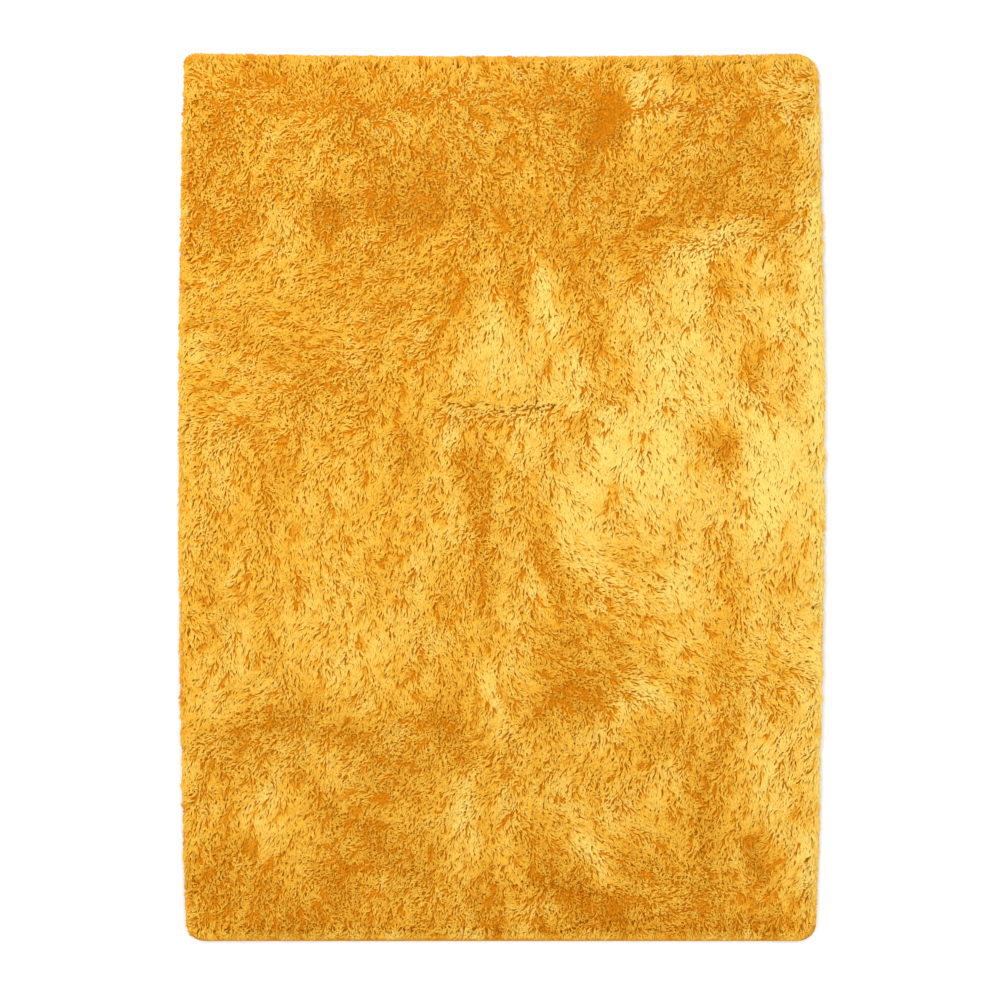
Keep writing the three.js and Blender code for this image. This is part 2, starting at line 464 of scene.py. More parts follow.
def linear(hex_colour):
    """The linear colour that Blender works in, from an sRGB hex value."""
    channels = [int(hex_colour[k:k + 2], 16) / 255 for k in (1, 3, 5)]
    return [c / 12.92 if c <= 0.04045 else ((c + 0.055) / 1.055) ** 2.4 for c in channels]


def colour_property(name, description, hex_colour):
    return bpy.props.FloatVectorProperty(
        name=name, description=description, default=linear(hex_colour),
        subtype="COLOR", size=3, min=0, max=1,
    )


class RugColours(bpy.types.PropertyGroup):
    # painted shade and painted sheen: the deep and the pale yarn are shaded and lit copies of the one
    # dye
    yarn_painted_shade: colour_property("Deep yarn", "Locks that stand and show their depth", "#dc8d0b")
    yarn_middle: colour_property("Yarn", "The dye on most locks", "#efb940")
    yarn_painted_sheen: colour_property("Pale yarn", "Pressed locks that catch the light", "#f5da7c")
    yarn_root_shade: colour_property("Yarn roots", "The shaded lower part of the pile", "#e29216")
    cloth: colour_property("Ground cloth", "Undyed backing yarn, tinted by the dye", "#c9974a")
    tape: colour_property("Edge tape", "The tape's own darker dye", "#dc9322")
    floor: colour_property("Floor", "The pale studio floor", "#f7f7f6")


def rgba(colour):
    return (*colour, 1.0)


# Materials

def add_node(tree, kind, settings=None, links=None):
    """Adds a node, sets its properties and plain input values, and joins inputs to other outputs."""
    node = tree.nodes.new(kind)
    for name, value in (settings or {}).items():
        if name in node.inputs:
            node.inputs[name].default_value = value
        else:
            setattr(node, name, value)
    for name, output in (links or {}).items():
        tree.links.new(output, node.inputs[name])
    return node


def new_material(name, finish):
    """A material whose shader has the plain values of its finish, ready for patterns."""
    material = bpy.data.materials.new(name)
    material.use_nodes = True
    tree = material.node_tree
    tree.nodes.clear()
    shader = add_node(tree, "ShaderNodeBsdfPrincipled", finish)
    output = add_node(tree, "ShaderNodeOutputMaterial")
    tree.links.new(shader.outputs["BSDF"], output.inputs["Surface"])
    return material, tree, shader


def set_ramp(node, stops):
    """Gives a colour ramp its stops, each a place from 0 to 1 and a colour."""
    ramp = node.color_ramp
    while len(ramp.elements) < len(stops):
        ramp.elements.new(0.5)
    for element, (place, colour) in zip(ramp.elements, stops):
        element.position = place
        element.color = colour
    return node


def polyester_pile(colours):
    """Fine polyester yarn, cut and brushed open. Its smooth fibres give a soft silky gloss.

    The map runs from root to tip along each lock, and its other way tells how pale the lock is: from
    painted shade through the dye to painted sheen."""
    material, tree, shader = new_material("Brushed polyester shag yarn", {
        "Roughness": 0.55, "IOR": 1.5, "Specular IOR Level": 0.04,
        "Sheen Weight": 0.02, "Sheen Tint": rgba(colours.yarn_painted_sheen), "Sheen Roughness": 0.4,
    })
    where = add_node(tree, "ShaderNodeUVMap", {"uv_map": "OFBake"})
    parts = add_node(tree, "ShaderNodeSeparateXYZ", links={"Vector": where.outputs["UV"]})
    # the dye in the middle, with painted shade at the deep end and painted sheen at the pale end
    dye = set_ramp(
        add_node(tree, "ShaderNodeValToRGB", links={"Fac": parts.outputs["X"]}),
        [
            (0.0, rgba(colours.yarn_painted_shade)),
            (0.5, rgba(colours.yarn_middle)),
            (1.0, rgba(colours.yarn_painted_sheen)),
        ],
    )
    # the light that comes back from between the locks is deeper and redder near the roots
    depth = set_ramp(
        add_node(tree, "ShaderNodeValToRGB", links={"Fac": parts.outputs["Y"]}),
        [
            (0.0, (0.98, 0.68, 0.14, 1)),
            (0.4, (0.99, 0.87, 0.54, 1)),
            (0.75, (1.0, 0.98, 0.89, 1)),
            (1.0, (1, 1, 1, 1)),
        ],
    )
    lines = add_node(
        tree, "ShaderNodeTexWave", {"bands_direction": "X", "Scale": FIBRE_SCALE},
        {"Vector": where.outputs["UV"]},
    )
    fibres = set_ramp(
        add_node(tree, "ShaderNodeValToRGB", links={"Fac": lines.outputs["Fac"]}),
        [(0.0, (0.88, 0.84, 0.74, 1)), (0.7, (1, 1, 1, 1))],
    )
    colour = dye.outputs["Color"]
    for layer in (depth, fibres):
        both = add_node(
            tree, "ShaderNodeMix",
            {"data_type": "RGBA", "blend_type": "MULTIPLY", "Factor": 1.0},
        )
        # a colour mix has its two colours at inputs 6 and 7, and its result at output 2
        tree.links.new(colour, both.inputs[6])
        tree.links.new(layer.outputs["Color"], both.inputs[7])
        colour = both.outputs[2]
    tree.links.new(colour, shader.inputs["Base Color"])
    return material


def matted_roots(colours):
    """The same yarn deep in the pile, matted, in a darker colour that is painted shade, so it reads as
    rough dark gold.
    """
    finish = {"Roughness": 0.85, "Specular IOR Level": 0.05}
    material, tree, shader = new_material("Matted polyester yarn", finish)
    where = add_node(tree, "ShaderNodeTexCoord")
    tufts = add_node(
        tree, "ShaderNodeTexNoise",
        {"Scale": 1 / (ROOT_TUFT * MM), "Detail": 1.5, "Roughness": 0.5, "Distortion": 1.0},
        {"Vector": where.outputs["Object"]},
    )
    top = rgba(colours.yarn_root_shade)
    deep = (colours.yarn_root_shade[0] * 0.7, colours.yarn_root_shade[1] * 0.56, 0.0, 1)
    # painted shade: each dip to the deep colour draws a dark winding line, where the slits between
    # tufts lie in shadow
    tint = set_ramp(
        add_node(tree, "ShaderNodeValToRGB", links={"Fac": tufts.outputs["Fac"]}),
        [
            (0.3, top), (0.36, deep), (0.39, deep), (0.44, top), (0.49, deep),
            (0.52, deep), (0.57, top), (0.62, deep), (0.65, deep), (0.7, top),
        ],
    )
    relief = add_node(
        tree, "ShaderNodeBump", {"Strength": 0.8, "Distance": 2 * MM},
        {"Height": tufts.outputs["Fac"]},
    )
    tree.links.new(tint.outputs["Color"], shader.inputs["Base Color"])
    tree.links.new(relief.outputs["Normal"], shader.inputs["Normal"])
    return material


def woven_cloth(name, colour, thread):
    """A plain weave: rows of rounded threads crossing each other, with painted shade making the gaps a
    little darker.
    """
    material, tree, shader = new_material(name, {"Roughness": 0.9})
    where = add_node(tree, "ShaderNodeTexCoord")
    waves = []
    for direction in ("X", "Y"):
        # at scale 1 a wave repeats every pi / 10 of a unit
        waves.append(add_node(
            tree, "ShaderNodeTexWave",
            {
                "bands_direction": direction, "Scale": math.pi / (10 * thread * MM),
                "Distortion": 0.6, "Detail": 1.0,
            },
            {"Vector": where.outputs["Object"]},
        ))
    weave = add_node(tree, "ShaderNodeMath", {"operation": "MAXIMUM"})
    tree.links.new(waves[0].outputs["Fac"], weave.inputs[0])
    tree.links.new(waves[1].outputs["Fac"], weave.inputs[1])
    # painted shade in the gaps between the threads
    gaps = [c * 0.75 for c in colour]
    tint = set_ramp(
        add_node(tree, "ShaderNodeValToRGB", links={"Fac": weave.outputs["Value"]}),
        [(0.0, rgba(gaps)), (0.8, rgba(colour))],
    )
    relief = add_node(
        tree, "ShaderNodeBump", {"Strength": 0.6, "Distance": 0.3 * MM},
        {"Height": weave.outputs["Value"]},
    )
    tree.links.new(tint.outputs["Color"], shader.inputs["Base Color"])
    tree.links.new(relief.outputs["Normal"], shader.inputs["Normal"])
    return material


def plain_floor(colour):
    """Matt seamless studio paper, which gives an even pale ground with soft shadows."""
    return new_material("Matt studio paper", {"Base Color": rgba(colour), "Roughness": 0.95})[0]


# Modelling helpers

def clear_selection():
    """Leaves edit mode and deselects everything, as each operator starts that way."""
    if bpy.context.object and bpy.context.object.mode != "OBJECT":
        bpy.ops.object.mode_set(mode="OBJECT")
    bpy.ops.object.select_all(action="DESELECT")


def work_on(obj):
    """Makes one object the only one that is selected, and the active one."""
    clear_selection()
    obj.select_set(True)
    bpy.context.view_layer.objects.active = obj


def edit_all(obj):
    """Opens one object for editing with all of it selected."""
    work_on(obj)
    bpy.ops.object.mode_set(mode="EDIT")
    bpy.ops.mesh.select_all(action="SELECT")


def finish_piece(obj, name, material, node):
    """Applies the object's place to its mesh, gives it its name, finish and body, and hides the node
    that it stands in for.
    """
    work_on(obj)
    bpy.ops.object.transform_apply(location=True, rotation=True, scale=True)
    obj.name = name
    obj.data.name = name
    obj.data.materials.clear()
    obj.data.materials.append(material)
    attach(obj, BODY)
    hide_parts(node)
    return obj


def mesh_object(name, vertices, faces, uvs):
    """A mesh object of triangles from arrays, with its places in millimetres."""
    mesh = bpy.data.meshes.new(name)
    mesh.vertices.add(len(vertices))
    mesh.vertices.foreach_set("co", (vertices * MM).astype(np.float32).ravel())
    mesh.loops.add(faces.size)
    mesh.loops.foreach_set("vertex_index", faces.astype(np.int32).ravel())
    mesh.polygons.add(len(faces))
    mesh.polygons.foreach_set("loop_start", np.arange(0, faces.size, 3))
    mesh.polygons.foreach_set("loop_total", np.full(len(faces), 3))
    mesh.polygons.foreach_set("use_smooth", np.ones(len(faces), bool))
    mesh.update(calc_edges=True)
    layer = mesh.uv_layers.new(name="OFBake")
    layer.data.foreach_set("uv", uvs.astype(np.float32).ravel())
    mesh.validate()
    obj = bpy.data.objects.new(name, mesh)
    bpy.context.scene.collection.objects.link(obj)
    return obj


# The pile

NET = 3.0  # from one knot to the next of the net that the lay is worked out on
NET_MARGIN = 31.0  # how far the net goes on past the pile
NET_X, NET_Y = [np.arange(-half, half + 1, NET) for half in np.round(PILE_HIGH[:2]) + NET_MARGIN]
KNOT_X, KNOT_Y = np.meshgrid(NET_X, NET_Y)
OUTLINE_CHUNK = 20000  # places that are compared with the outline at a time, to spare memory


def smoothstep(value):
    """A smooth rise from 0 to 1."""
    value = np.clip(value, 0, 1)
    return value * value * (3 - 2 * value)


def soft_noise(random, reach):
    """Even random cloudiness over the net, with spots of about the given reach."""
    rows, columns = KNOT_X.shape
    waves = np.fft.rfft2(random.standard_normal(KNOT_X.shape))
    down = np.fft.fftfreq(rows, NET)[:, None]
    along = np.fft.rfftfreq(columns, NET)[None, :]
    waves *= np.exp(-2 * (math.pi * reach) ** 2 * (down ** 2 + along ** 2))
    cloud = np.fft.irfft2(waves, KNOT_X.shape)
    return cloud / cloud.std()


def at(field, x, y):
    """The value of a net at any places."""
    u = np.clip((x - NET_X[0]) / NET, 0, len(NET_X) - 1.001)
    v = np.clip((y - NET_Y[0]) / NET, 0, len(NET_Y) - 1.001)
    i, j = u.astype(int), v.astype(int)
    p, q = u - i, v - j
    low = field[j, i] * (1 - p) + field[j, i + 1] * p
    high = field[j + 1, i] * (1 - p) + field[j + 1, i + 1] * p
    return low * (1 - q) + high * q


def combed(field, lay_x, lay_y, reach):
    """The mean of a field along the lay, out to a reach both ways. It turns spots into streaks."""
    steps = int(round(reach / NET))
    total, weights = field.copy(), 1.0
    for way in (NET, -NET):
        x, y = KNOT_X, KNOT_Y
        for k in range(steps):
            x, y = x + way * at(lay_x, x, y), y + way * at(lay_y, x, y)
            total = total + at(field, x, y) * (1 - k / steps)
            weights += 1 - k / steps
    return total / weights


def streaks(random, width, lay_x, lay_y, reach):
    """Random streaks along the lay, as even as soft_noise."""
    field = combed(soft_noise(random, width), lay_x, lay_y, reach)
    return field / field.std()


def patch(spots, x, y, half_x, half_y, turn=0.0):
    """How much each spot belongs to an oval patch: 1 in its middle, half at its rim, 0 outside."""
    angle = math.radians(turn)
    off_x, off_y = spots[0] - x, spots[1] - y
    u = (off_x * math.cos(angle) + off_y * math.sin(angle)) / half_x
    v = (-off_x * math.sin(angle) + off_y * math.cos(angle)) / half_y
    return np.exp(-(u * u + v * v) ** 1.3 * 0.7)


class Lay:
    """How the pile lies over the net: the way the tips point, how flat they lie, and how pale, in
    painted sheen and painted shade.

    The widths and reaches of all the noise and streaks are in millimetres."""

    def __init__(self, random):
        # the patches are looked up at shifted knots, so that their edges waver
        uneven = [
            knots + PATCH_WAVER * soft_noise(random, 26) + PATCH_WAVER * soft_noise(random, 10)
            for knots in (KNOT_X, KNOT_Y)
        ]
        angle = math.radians(GENERAL_LAY)
        toward_x = np.full(KNOT_X.shape, GENERAL_PULL * math.cos(angle))
        toward_y = np.full(KNOT_X.shape, GENERAL_PULL * math.sin(angle))
        self.flat = np.full(KNOT_X.shape, GENERAL_FLATNESS)
        for x, y, half_x, half_y, lay, flatness in BRUSHED:
            share = patch(uneven, x, y, half_x, half_y)
            toward_x += PATCH_PULL * share * math.cos(math.radians(lay))
            toward_y += PATCH_PULL * share * math.sin(math.radians(lay))
            self.flat += share * (flatness - self.flat)
        # locks that stand swirl more than those that lie flat
        swirl = np.radians(15 * soft_noise(random, 60) + 15 * soft_noise(random, 22))
        swirl *= 1.6 - 1.1 * self.flat
        heading = np.arctan2(toward_y, toward_x) + swirl
        self.x, self.y = np.cos(heading), np.sin(heading)
        # a dark patch of painted shade stands up, and a pale one of painted sheen is pressed a little
        # flatter
        patches = sum(p * patch(uneven, x, y, hx, hy, turn) for x, y, hx, hy, turn, p in SHADED)
        self.pale = combed(patches, self.x, self.y, PALE_STREAK)
        raised = 0.26 * np.maximum(self.pale, 0) + 0.6 * np.minimum(self.pale, 0)
        self.flat = np.clip(self.flat + raised, 0.12, 1.0)
        # where the lay spreads apart, the locks stand up and fill the gap
        spread = np.gradient(self.x, NET)[1] + np.gradient(self.y, NET)[0]
        self.flat /= 1 + 30 * np.clip(spread, 0, None)
        # tufts of locks that turn together, most of all where they stand
        self.tuft_turn = np.radians(14 * soft_noise(random, 9))
        self.tuft_turn += np.radians(62 * (1 - self.flat) * soft_noise(random, 6.5))
        # clumps that tips draw together into, and the wander of the creases
        self.clump = streaks(random, 4.2, self.x, self.y, 17)
        self.wander = soft_noise(random, 12)
        # fine, middling and broad streaks of paler and deeper yarn
        self.mottle = (
            0.5 * streaks(random, 6, self.x, self.y, 24)
            + 0.6 * streaks(random, 13, self.x, self.y, 50)
            + 0.7 * streaks(random, 28, self.x, self.y, 80)
        )


def inside_by(x, y):
    """How far places are inside the pile's outline, and the way out, which turns at the corners."""
    start, end = PILE_OUTLINE, np.roll(PILE_OUTLINE, -1, axis=0)
    run = end - start
    length = np.hypot(run[:, 0], run[:, 1])
    out = np.stack([run[:, 1], -run[:, 0]], 1) / length[:, None]
    depth, way = np.empty(len(x)), np.empty((len(x), 2))
    for first in range(0, len(x), OUTLINE_CHUNK):
        part = slice(first, first + OUTLINE_CHUNK)
        off_x = x[part, None] - start[None, :, 0]
        off_y = y[part, None] - start[None, :, 1]
        share = np.clip((off_x * run[:, 0] + off_y * run[:, 1]) / length ** 2, 0, 1)
        gap_x, gap_y = off_x - share * run[:, 0], off_y - share * run[:, 1]
        gap = np.hypot(gap_x, gap_y)
        side = off_x * out[:, 0] + off_y * out[:, 1]
        least = gap.min(1)
        # the nearest edge alone tells inside from outside, because the head's outline dips
        outside = np.where(gap < least[:, None] + 0.01, side, -1.0).max(1) > 0
        depth[part] = np.where(outside, -least, least)
        near = np.exp((least[:, None] - gap) / BLEND_REACH) * length
        toward = near @ out
        way[part] = toward / np.linalg.norm(toward, axis=1)[:, None]
    return depth, way


def height_limit(depth):
    """The height of the pile's round rim, which rises from its widest place to the full pile."""
    share = np.clip(depth / RIM_RISE, 0, 1)
    return RIM_HEIGHT + (PILE_HIGH[2] - RIM_HEIGHT) * np.sqrt(1 - (1 - share) ** 2)


def root_places(random, spacing):
    """Roots on jittered staggered rows."""
    rise = spacing * math.sqrt(3) / 2
    rows = np.arange(PILE_LOW[1], PILE_HIGH[1], rise)
    columns = np.arange(PILE_LOW[0], PILE_HIGH[0], spacing)
    x = (columns[None, :] + spacing / 2 * (np.arange(len(rows)) % 2)[:, None]).ravel()
    y = np.repeat(rows, len(columns))
    x = x + random.uniform(-0.42, 0.42, len(x)) * spacing
    y = y + random.uniform(-0.42, 0.42, len(y)) * spacing
    return x, y


def pile_roots(random, spacing):
    """Where the locks start, how far in that is, the way out from there, and which are fringe.

    The free locks lie any way, out to the rim. Under them the fringe fans out over the tape."""
    parts = []
    for gap, fringe in ((spacing, 0), (spacing * FRINGE_SPACING, 1)):
        x, y = root_places(random, gap)
        depth, out = inside_by(x, y)
        if fringe:
            room_x = CLOTH_HIGH[0] - np.abs(x)
            room_y = np.minimum(CLOTH_HIGH[1] - y, y - CLOTH_LOW[1])
            keep = np.minimum(room_x, room_y) > TAPE_WIDTH - FRINGE_OVER_TAPE
            keep &= (depth > FRINGE_GAP) & (depth < FRINGE_REACH)
        else:
            keep = depth > RIM_GAP
        parts.append(np.column_stack([x, y, depth, out, np.full(len(x), fringe)])[keep])
    rows = np.concatenate(parts)
    return rows[:, 0], rows[:, 1], rows[:, 2], rows[:, 3:5], rows[:, 5]


def parted(random, x, y, way, reach, shift):
    """How far the locks reach, where those that lie across a crease stop at it."""
    for middle_x, middle_y, half, turn, share in CREASES:
        angle = math.radians(turn)
        along, across = (math.cos(angle), math.sin(angle)), (-math.sin(angle), math.cos(angle))
        before = (x - middle_x) * across[0] + (y - middle_y) * across[1] + shift
        moved = reach * (way[:, 0] * across[0] + way[:, 1] * across[1])
        part = -before / np.where(np.abs(moved) < 0.01, 0.01, moved)
        where = (x - middle_x) * along[0] + (y - middle_y) * along[1]
        where += part * reach * (way[:, 0] * along[0] + way[:, 1] * along[1])
        ends = (np.abs(where) < half) & (part > 0) & (part < 1)
        ends &= random.uniform(0, 1, len(x)) < share
        reach = np.where(ends, np.maximum(part * reach, SHORTEST_AT_CREASE), reach)
    return reach


class Locks:
    """All the locks, as arrays with one row for each, worked out one step after another.

    A lock has a centre line of three points, a width, a tone from deep to pale, much of it painted
    shade and painted sheen, and the way that its crown faces."""

    def __init__(self, sizes):
        self.random = np.random.default_rng(sizes.seed)
        self.lay = Lay(self.random)
        roots = pile_roots(self.random, sizes.lock_spacing / MM)
        self.x, self.y, self.depth, self.out, self.fringe = roots
        self.count = len(self.x)
        self.edge = smoothstep((EDGE_REACH - self.depth) / EDGE_SOFTNESS)
        self.corner = smoothstep((np.abs(self.x) - CORNER_START[0]) / CORNER_SOFTNESS)
        self.corner *= smoothstep((np.abs(self.y) - CORNER_START[1]) / CORNER_SOFTNESS)
        self.lean()
        self.stretch(sizes.lock_reach / MM)
        self.gather(sizes.gathering / MM)
        self.bend()
        self.dress(sizes.lock_width / MM)

    def scatter(self, spread):
        """A random value for each lock, either side of 0."""
        return self.random.normal(0, 1, self.count) * spread

    def between(self, low, high):
        """A random value for each lock, from low to high."""
        return self.random.uniform(low, high, self.count)

    def lean(self):
        """Turns each lock and lays it flat or stands it up. The fringe only fans outwards."""
        x, y = self.x, self.y
        lie = np.clip(at(self.lay.flat, x, y) + self.scatter(FLATNESS_SCATTER), MOST_UPRIGHT, 1.0)
        angle = np.arctan2(at(self.lay.y, x, y), at(self.lay.x, x, y)) + at(self.lay.tuft_turn, x, y)
        angle += np.radians(self.scatter(TURN_SCATTER[0] + TURN_SCATTER[1] * (1 - lie)))
        fan = np.arctan2(self.out[:, 1], self.out[:, 0]) + np.radians(self.scatter(FAN_SCATTER))
        brushed = (1 - self.fringe) * lie
        outward = np.where(self.fringe, 1.0, 0.35 * self.edge)
        lean_x = brushed * np.cos(angle) + outward * np.cos(fan)
        lean_y = brushed * np.sin(angle) + outward * np.sin(fan)
        length = np.hypot(lean_x, lean_y)
        self.lie = np.clip(length, MOST_UPRIGHT, 1.0)
        self.way = np.stack([lean_x, lean_y], 1) / length[:, None]

    def spill(self):
        """How far a tip may pass the outline: most at the head and the lower right side."""
        above_foot = smoothstep((self.y + 1000) / 250)
        at_head = smoothstep((self.y - 1030) / 50)
        lower_right = smoothstep((self.x - 650) / 80) * smoothstep((-self.y - 700) / 150)
        return 2 + above_foot + 3 * at_head + 4 * lower_right - 3 * self.corner

    def stretch(self, full_reach):
        """Sets how far each lock reaches. One that would pass the rim or a crease is shorter."""
        flat_share = FLAT_REACH[0] + FLAT_REACH[1] * self.lie
        free = full_reach * self.between(*REACH_RANGE) * flat_share
        reach = np.where(self.fringe, self.depth + 14, free)
        spill = self.spill()
        for _ in range(2):
            tip_x, tip_y = self.x + self.way[:, 0] * reach, self.y + self.way[:, 1] * reach
            self.tip_depth = inside_by(tip_x, tip_y)[0]
            beyond = -self.tip_depth - spill - self.between(-6 + 3 * self.fringe, 1)
            reach = np.maximum(reach - np.maximum(beyond, 0), SHORTEST_LOCK)
        shift = 3 * at(self.lay.wander, self.x, self.y)
        self.reach = parted(self.random, self.x, self.y, self.way, reach, shift)
        self.tip = self.x + self.way[:, 0] * self.reach, self.y + self.way[:, 1] * self.reach
        self.pale = at(self.lay.pale, *self.tip)

    def gather(self, full_pull):
        """Draws the tips into clumps, and sinks those in the slits between, most in dark places."""
        slope = np.gradient(self.lay.clump, NET)
        steep = 2 * np.hypot(*slope).std()
        slit_level = -0.8 - 0.5 * np.clip(self.pale, -1, 1) + 0.4 * (0.7 - self.lie)
        self.sink = smoothstep((slit_level - at(self.lay.clump, *self.tip)) / 0.8)
        self.sink *= 1 - 0.35 * self.fringe
        pull = np.stack([at(slope[1], *self.tip), at(slope[0], *self.tip)], 1) / steep
        pull /= np.maximum(np.linalg.norm(pull, axis=1)[:, None], 1)
        strength = full_pull * np.clip(0.3 + self.sink, 0, 1.8) * (1 - 0.9 * self.edge * self.fringe)
        self.pull = pull * strength[:, None]

    def bend(self):
        """Draws the centre lines under the pile's round rim, with a curl and a droop at the edge."""
        full = PILE_HIGH[2]
        stand = full - 2.5 - 5.0 * self.lie + self.scatter(HEIGHT_SCATTER) - 3.0 * self.sink
        stand = np.minimum(stand, full - 2.0) * (1 - 0.22 * self.fringe)
        sideways = np.stack([self.way[:, 1], -self.way[:, 0]], 1)
        curl = self.scatter(CURL[0] + CURL[1] * (1 - self.lie)) * (1 - 0.5 * self.edge)
        belly = LOCK_BELLY + BELLY_SCATTER * self.between(-1, 1)
        stem = self.way * self.reach[:, None] + self.pull
        # how far along, how high and how far sideways the root, the belly and the tip are
        stations = ((0.0, 0.6, 0.0), (belly, 0.97, 1.0), (1.0, 1.0, -0.3))
        self.points = np.empty((self.count, 3, 3))
        for k, (share, rise, swing) in enumerate(stations):
            spot = np.stack([self.x, self.y], 1) + stem * np.reshape(share, (-1, 1))
            spot += sideways * (curl * swing)[:, None]
            here = inside_by(spot[:, 0], spot[:, 1])[0]
            self.points[:, k, :2] = spot
            self.points[:, k, 2] = stand * rise * height_limit(here) / full
        droop = self.between(0, 1) * smoothstep(1 - self.tip_depth / 20) * self.edge * DROOP
        self.points[:, 2, 2] = np.maximum(self.points[:, 2, 2] - droop, TIP_FLOOR)

    def dress(self, full_width):
        """Sets the widths, the way the crowns face and the tones, with their painted sheen and painted
        shade.
        """
        pale, fringe = self.pale, self.fringe
        self.width = full_width * self.between(*WIDTH_RANGE) * (0.8 + 0.3 * self.lie)
        fuller_at_corner = 1 - 0.2 * fringe + 0.5 * self.corner * fringe
        self.width *= fuller_at_corner * (1 + 0.22 * np.clip(pale, -1, 1))
        self.facing = np.ones((self.count, 3))
        self.facing[:, :2] = self.out * (0.25 * smoothstep(1 - self.depth / 45))[:, None]
        uneven = self.random.normal(0, 0.1, (self.count, 2))
        self.facing[:, :2] += uneven - 0.12 * self.way * self.lie[:, None]
        # painted sheen on pale patches and painted shade on dark ones
        tone = TONE_MIDDLE + TONE_OF_PAINTED_SHEEN * np.maximum(pale, 0) + TONE_OF_PAINTED_SHADE * np.minimum(pale, 0)
        # painted shade: a lock sunk in a slit between clumps is darker
        tone -= TONE_OF_SLIT_SHADE * self.sink
        tone += TONE_OF_MOTTLE * at(self.lay.mottle, *self.tip)
        # painted shade between the clumps, and a paler tone where the tips gather
        tone += TONE_OF_CLUMP_SHADE * at(self.lay.clump, *self.tip)
        # painted shade: the fringe, lying under the free locks, is darker by a random share
        tone -= TONE_OF_FRINGE_SHADE * fringe * self.between(0, 1)
        spread = TONE_SCATTER[0] + TONE_SCATTER[1] * np.clip(-pale, 0, 1)
        self.tone = np.clip(tone + self.scatter(spread), 0, 1)


def lock_arrays(points, width, tone, facing):
    """Closed slim locks of six faces along lines of three points, with their map.

    Each has a root, a three-cornered ring that is flat underneath, and a tip."""
    count = len(points)
    along = points[:, 2] - points[:, 0]
    along[:, 2] = 0
    along /= np.linalg.norm(along, axis=1)[:, None]
    right = np.column_stack([along[:, 1], -along[:, 0], np.zeros(count)])
    half = right * width[:, None] / 2
    crown = np.column_stack([np.zeros((count, 2)), LOCK_THICKNESS * width])
    root, belly, tip = points[:, 0], points[:, 1], points[:, 2]
    vertices = np.stack([root, belly - half, belly + crown, belly + half, tip], 1)
    normals = np.repeat(facing[:, None], 5, axis=1)
    normals[:, 1] -= LOCK_ROUNDNESS * right
    normals[:, 3] += LOCK_ROUNDNESS * right
    normals[:, 4] += 0.5 * LOCK_ROUNDNESS * along
    corners = np.array([(0, 2, 1), (0, 3, 2), (0, 1, 3), (1, 2, 4), (2, 3, 4), (3, 1, 4)])
    normals = normals[:, corners]
    normals[:, (2, 5), :, 2] *= -1  # the two faces underneath look down
    normals /= np.linalg.norm(normals, axis=3)[..., None]
    # a lock takes a narrow strip of the map at its tone, so the fine lines run along it
    on_map = np.array([(0.5, 0.01), (0, 0.6), (0.5, 0.6), (1, 0.6), (0.5, 0.99)])[corners]
    uvs = np.empty((count, *on_map.shape))
    uvs[..., 0] = (0.005 + 0.98 * tone)[:, None, None] + 0.01 * on_map[None, ..., 0]
    uvs[..., 1] = on_map[None, ..., 1]
    faces = (np.arange(count)[:, None, None] * 5 + corners[None]).reshape(-1, 3)
    return vertices.reshape(-1, 3), faces, uvs.reshape(-1, 2), normals.reshape(-1, 3)


class RUG_OT_stage(bpy.types.Operator):
    """Adds the pale floor, the soft lights and the camera straight above the rug"""

    bl_idname = "rug.stage"
    bl_label = "Stage"

    def execute(self, context):
        clear_selection()
        bpy.ops.mesh.primitive_plane_add(size=FLOOR_SIZE)
        floor = context.object
        floor.name = "floor"
        floor.data.materials.append(plain_floor(context.scene.rug_colours.floor))

        world = bpy.data.worlds.new("Soft studio")
        world.use_nodes = True
        sky = world.node_tree.nodes["Background"]
        sky.inputs["Color"].default_value = (1, 1, 1, 1)
        sky.inputs["Strength"].default_value = WORLD_STRENGTH
        context.scene.world = world

        for name, energy, place in SOFTBOXES:
            light = bpy.data.lights.new(name, "AREA")
            light.shape = "SQUARE"
            light.size = SOFTBOX_SIZE
            light.energy = energy
            softbox = bpy.data.objects.new(name, light)
            context.scene.collection.objects.link(softbox)
            softbox.location = place
            aim_at(softbox, (0, 0, 0))

        camera = bpy.data.cameras.new("overhead_camera")
        camera.lens = CAMERA_LENS
        camera.sensor_width = CAMERA_SENSOR
        camera_object = bpy.data.objects.new("overhead_camera", camera)
        context.scene.collection.objects.link(camera_object)
        camera_object.location = CAMERA_PLACE
        context.scene.camera = camera_object

        context.scene.view_settings.view_transform = "Standard"
        return {"FINISHED"}


def aim_at(obj, place):
    """Turns a light so that it shines on a place."""
    toward = Vector(place) - obj.location
    obj.rotation_euler = toward.to_track_quat("-Z", "Y").to_euler()


def rounded_plate(width, length, middle, height):
    """A flat plate with round corners, added as a plane with its corners bevelled."""
    clear_selection()
    bpy.ops.mesh.primitive_plane_add(size=1, location=(middle[0] * MM, middle[1] * MM, height * MM))
    plate = bpy.context.object
    plate.scale = (width * MM, length * MM, 1)
    bpy.ops.object.transform_apply(location=True, rotation=True, scale=True)
    edit_all(plate)
    bpy.ops.mesh.bevel(
        offset=CORNER_RADIUS * MM, segments=CORNER_STEPS, affect="VERTICES", profile=0.5,
    )
    bpy.ops.object.mode_set(mode="OBJECT")
    return plate


